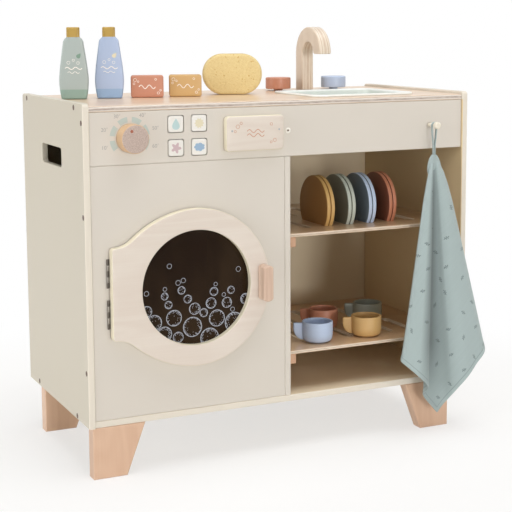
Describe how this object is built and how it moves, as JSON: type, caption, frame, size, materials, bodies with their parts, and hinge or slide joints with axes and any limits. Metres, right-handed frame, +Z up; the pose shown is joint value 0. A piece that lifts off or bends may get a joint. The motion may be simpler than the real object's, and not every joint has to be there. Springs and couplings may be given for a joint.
{
  "type": "toy washing machine unit",
  "caption": "Child's play laundry unit: a round-door washing machine beside a sink with tap, slotted shelves of plates and cups, a hanging towel and washing things, on splayed legs.",
  "frame": {"origin": "on the floor, under the middle of the box that holds the whole unit", "axes": "+Z up, front towards -Y, +X from the washing machine towards the sink"},
  "size_m": [0.6156, 0.3374, 0.6123],
  "materials": {
    "painted_board": "matt cream paint",
    "painted_side": "matt cream paint",
    "worktop_ply": "clear lacquered plywood",
    "shelf_ply": "clear lacquered plywood",
    "door_ply": "clear lacquered pale plywood",
    "beech": "clear lacquered beech",
    "pale_wood": "clear lacquered pale wood",
    "smoked_pane": "smoked clear acrylic",
    "steel": "dark nickel",
    "white_board": "matt white paint",
    "basin": "satin white",
    "cloth": "woven cotton",
    "blue_paint": "satin paint",
    "grey_green_paint": "satin paint",
    "sage_paint": "satin paint",
    "mustard_paint": "satin paint",
    "terracotta_paint": "satin paint",
    "foam": "open foam"
  },
  "bodies": {
    "cabinet": {"left_side_panel": "painted_side", "right_side_panel": "painted_side", "centre_divider": "painted_board", "bottom_panel": "painted_board", "back_panel": "painted_board", "worktop": "worktop_ply", "fascia": "painted_board", "machine_front_panel": "painted_board", "front_left_leg": "beech", "front_right_leg": "beech", "rear_left_leg": "beech", "rear_right_leg": "beech", "upper_shelf": "shelf_ply", "upper_left_batten": "beech", "upper_right_batten": "beech", "lower_shelf": "shelf_ply", "lower_left_batten": "beech", "lower_right_batten": "beech", "door_magnet": "steel", "upper_hinge_fixed_leaf": "steel", "lower_hinge_fixed_leaf": "steel", "button_housing": "pale_wood", "soap_drawer_guide": "pale_wood", "sink_basin": "basin", "tap": "pale_wood", "towel_peg": "pale_wood"},
    "door": {"door_ring": "door_ply", "door_window": "smoked_pane", "door_handle": "beech", "door_strike_plate": "steel", "upper_hinge_door_leaf": "steel", "lower_hinge_door_leaf": "steel"},
    "dial": {"dial_knob": "beech"},
    "upper_left_button_cap": {"upper_left_button": "white_board"},
    "upper_right_button_cap": {"upper_right_button": "white_board"},
    "lower_left_button_cap": {"lower_left_button": "white_board"},
    "lower_right_button_cap": {"lower_right_button": "white_board"},
    "soap_drawer": {"soap_drawer_front": "door_ply", "soap_drawer_tray": "pale_wood"},
    "hot_tap": {"hot_tap_knob": "terracotta_paint"},
    "cold_tap": {"cold_tap_knob": "blue_paint"},
    "hanging_towel": {"towel": "cloth"},
    "loose_blue_plate_left": {"blue_plate_left": "blue_paint"},
    "loose_blue_plate_right": {"blue_plate_right": "blue_paint"},
    "loose_green_plate_left": {"green_plate_left": "grey_green_paint"},
    "loose_green_plate_right": {"green_plate_right": "grey_green_paint"},
    "loose_mustard_plate_left": {"mustard_plate_left": "mustard_paint"},
    "loose_mustard_plate_right": {"mustard_plate_right": "mustard_paint"},
    "loose_terracotta_plate_left": {"terracotta_plate_left": "terracotta_paint"},
    "loose_terracotta_plate_right": {"terracotta_plate_right": "terracotta_paint"},
    "loose_blue_cup": {"blue_cup": "blue_paint"},
    "loose_green_cup": {"green_cup": "grey_green_paint"},
    "loose_mustard_cup": {"mustard_cup": "mustard_paint"},
    "loose_terracotta_cup": {"terracotta_cup": "terracotta_paint"},
    "loose_green_bottle": {"green_bottle": "sage_paint"},
    "loose_blue_bottle": {"blue_bottle": "blue_paint"},
    "loose_terracotta_soap_bar": {"terracotta_soap_bar": "terracotta_paint"},
    "loose_mustard_soap_bar": {"mustard_soap_bar": "mustard_paint"},
    "loose_sponge": {"sponge": "foam"}
  },
  "joints": [
    {"name": "door_hinge", "type": "hinge", "parent": "cabinet", "child": "door", "pos_m": [-0.27762, -0.12642, 0.255], "axis": [0, 0, -1], "range_deg": [0, 105]},
    {"name": "dial_turn", "type": "hinge", "parent": "cabinet", "child": "dial", "pos_m": [-0.24182, -0.12632, 0.4632], "axis": [0, 1, 0], "continuous": true},
    {"name": "upper_left_button_press", "type": "slide", "parent": "cabinet", "child": "upper_left_button_cap", "axis": [0, 1, 0], "range_m": [0, 0.003], "stiffness_N_per_m": 250, "springref_m": -0.001},
    {"name": "upper_right_button_press", "type": "slide", "parent": "cabinet", "child": "upper_right_button_cap", "axis": [0, 1, 0], "range_m": [0, 0.003], "stiffness_N_per_m": 250, "springref_m": -0.001},
    {"name": "lower_left_button_press", "type": "slide", "parent": "cabinet", "child": "lower_left_button_cap", "axis": [0, 1, 0], "range_m": [0, 0.003], "stiffness_N_per_m": 250, "springref_m": -0.001},
    {"name": "lower_right_button_press", "type": "slide", "parent": "cabinet", "child": "lower_right_button_cap", "axis": [0, 1, 0], "range_m": [0, 0.003], "stiffness_N_per_m": 250, "springref_m": -0.001},
    {"name": "soap_drawer_slide", "type": "slide", "parent": "cabinet", "child": "soap_drawer", "axis": [0, -1, 0], "range_m": [0, 0.06]},
    {"name": "hot_tap_turn", "type": "hinge", "parent": "cabinet", "child": "hot_tap", "pos_m": [0.09398, 0.11368, 0.512], "axis": [0, 0, 1], "continuous": true},
    {"name": "cold_tap_turn", "type": "hinge", "parent": "cabinet", "child": "cold_tap", "pos_m": [0.19398, 0.11368, 0.512], "axis": [0, 0, 1], "continuous": true},
    {"name": "towel_swing", "type": "hinge", "parent": "cabinet", "child": "hanging_towel", "pos_m": [0.22668, -0.13732, 0.4632], "axis": [0, -1, 0], "range_deg": [-12, 12]},
    {"name": "blue_plate_left_lift", "type": "slide", "parent": "cabinet", "child": "loose_blue_plate_left", "axis": [0, 0, 1], "range_m": [0, 0.045]},
    {"name": "blue_plate_right_lift", "type": "slide", "parent": "cabinet", "child": "loose_blue_plate_right", "axis": [0, 0, 1], "range_m": [0, 0.045]},
    {"name": "green_plate_left_lift", "type": "slide", "parent": "cabinet", "child": "loose_green_plate_left", "axis": [0, 0, 1], "range_m": [0, 0.045]},
    {"name": "green_plate_right_lift", "type": "slide", "parent": "cabinet", "child": "loose_green_plate_right", "axis": [0, 0, 1], "range_m": [0, 0.045]},
    {"name": "mustard_plate_left_lift", "type": "slide", "parent": "cabinet", "child": "loose_mustard_plate_left", "axis": [0, 0, 1], "range_m": [0, 0.045]},
    {"name": "mustard_plate_right_lift", "type": "slide", "parent": "cabinet", "child": "loose_mustard_plate_right", "axis": [0, 0, 1], "range_m": [0, 0.045]},
    {"name": "terracotta_plate_left_lift", "type": "slide", "parent": "cabinet", "child": "loose_terracotta_plate_left", "axis": [0, 0, 1], "range_m": [0, 0.045]},
    {"name": "terracotta_plate_right_lift", "type": "slide", "parent": "cabinet", "child": "loose_terracotta_plate_right", "axis": [0, 0, 1], "range_m": [0, 0.045]},
    {"name": "blue_cup_lift", "type": "slide", "parent": "cabinet", "child": "loose_blue_cup", "axis": [0, 0, 1], "range_m": [0, 0.06]},
    {"name": "green_cup_lift", "type": "slide", "parent": "cabinet", "child": "loose_green_cup", "axis": [0, 0, 1], "range_m": [0, 0.06]},
    {"name": "mustard_cup_lift", "type": "slide", "parent": "cabinet", "child": "loose_mustard_cup", "axis": [0, 0, 1], "range_m": [0, 0.06]},
    {"name": "terracotta_cup_lift", "type": "slide", "parent": "cabinet", "child": "loose_terracotta_cup", "axis": [0, 0, 1], "range_m": [0, 0.06]},
    {"name": "green_bottle_lift", "type": "slide", "parent": "cabinet", "child": "loose_green_bottle", "axis": [0, 0, 1], "range_m": [0, 0.06]},
    {"name": "blue_bottle_lift", "type": "slide", "parent": "cabinet", "child": "loose_blue_bottle", "axis": [0, 0, 1], "range_m": [0, 0.06]},
    {"name": "terracotta_soap_bar_lift", "type": "slide", "parent": "cabinet", "child": "loose_terracotta_soap_bar", "axis": [0, 0, 1], "range_m": [0, 0.06]},
    {"name": "mustard_soap_bar_lift", "type": "slide", "parent": "cabinet", "child": "loose_mustard_soap_bar", "axis": [0, 0, 1], "range_m": [0, 0.06]},
    {"name": "sponge_lift", "type": "slide", "parent": "cabinet", "child": "loose_sponge", "axis": [0, 0, 1], "range_m": [0, 0.06]}
  ]
}
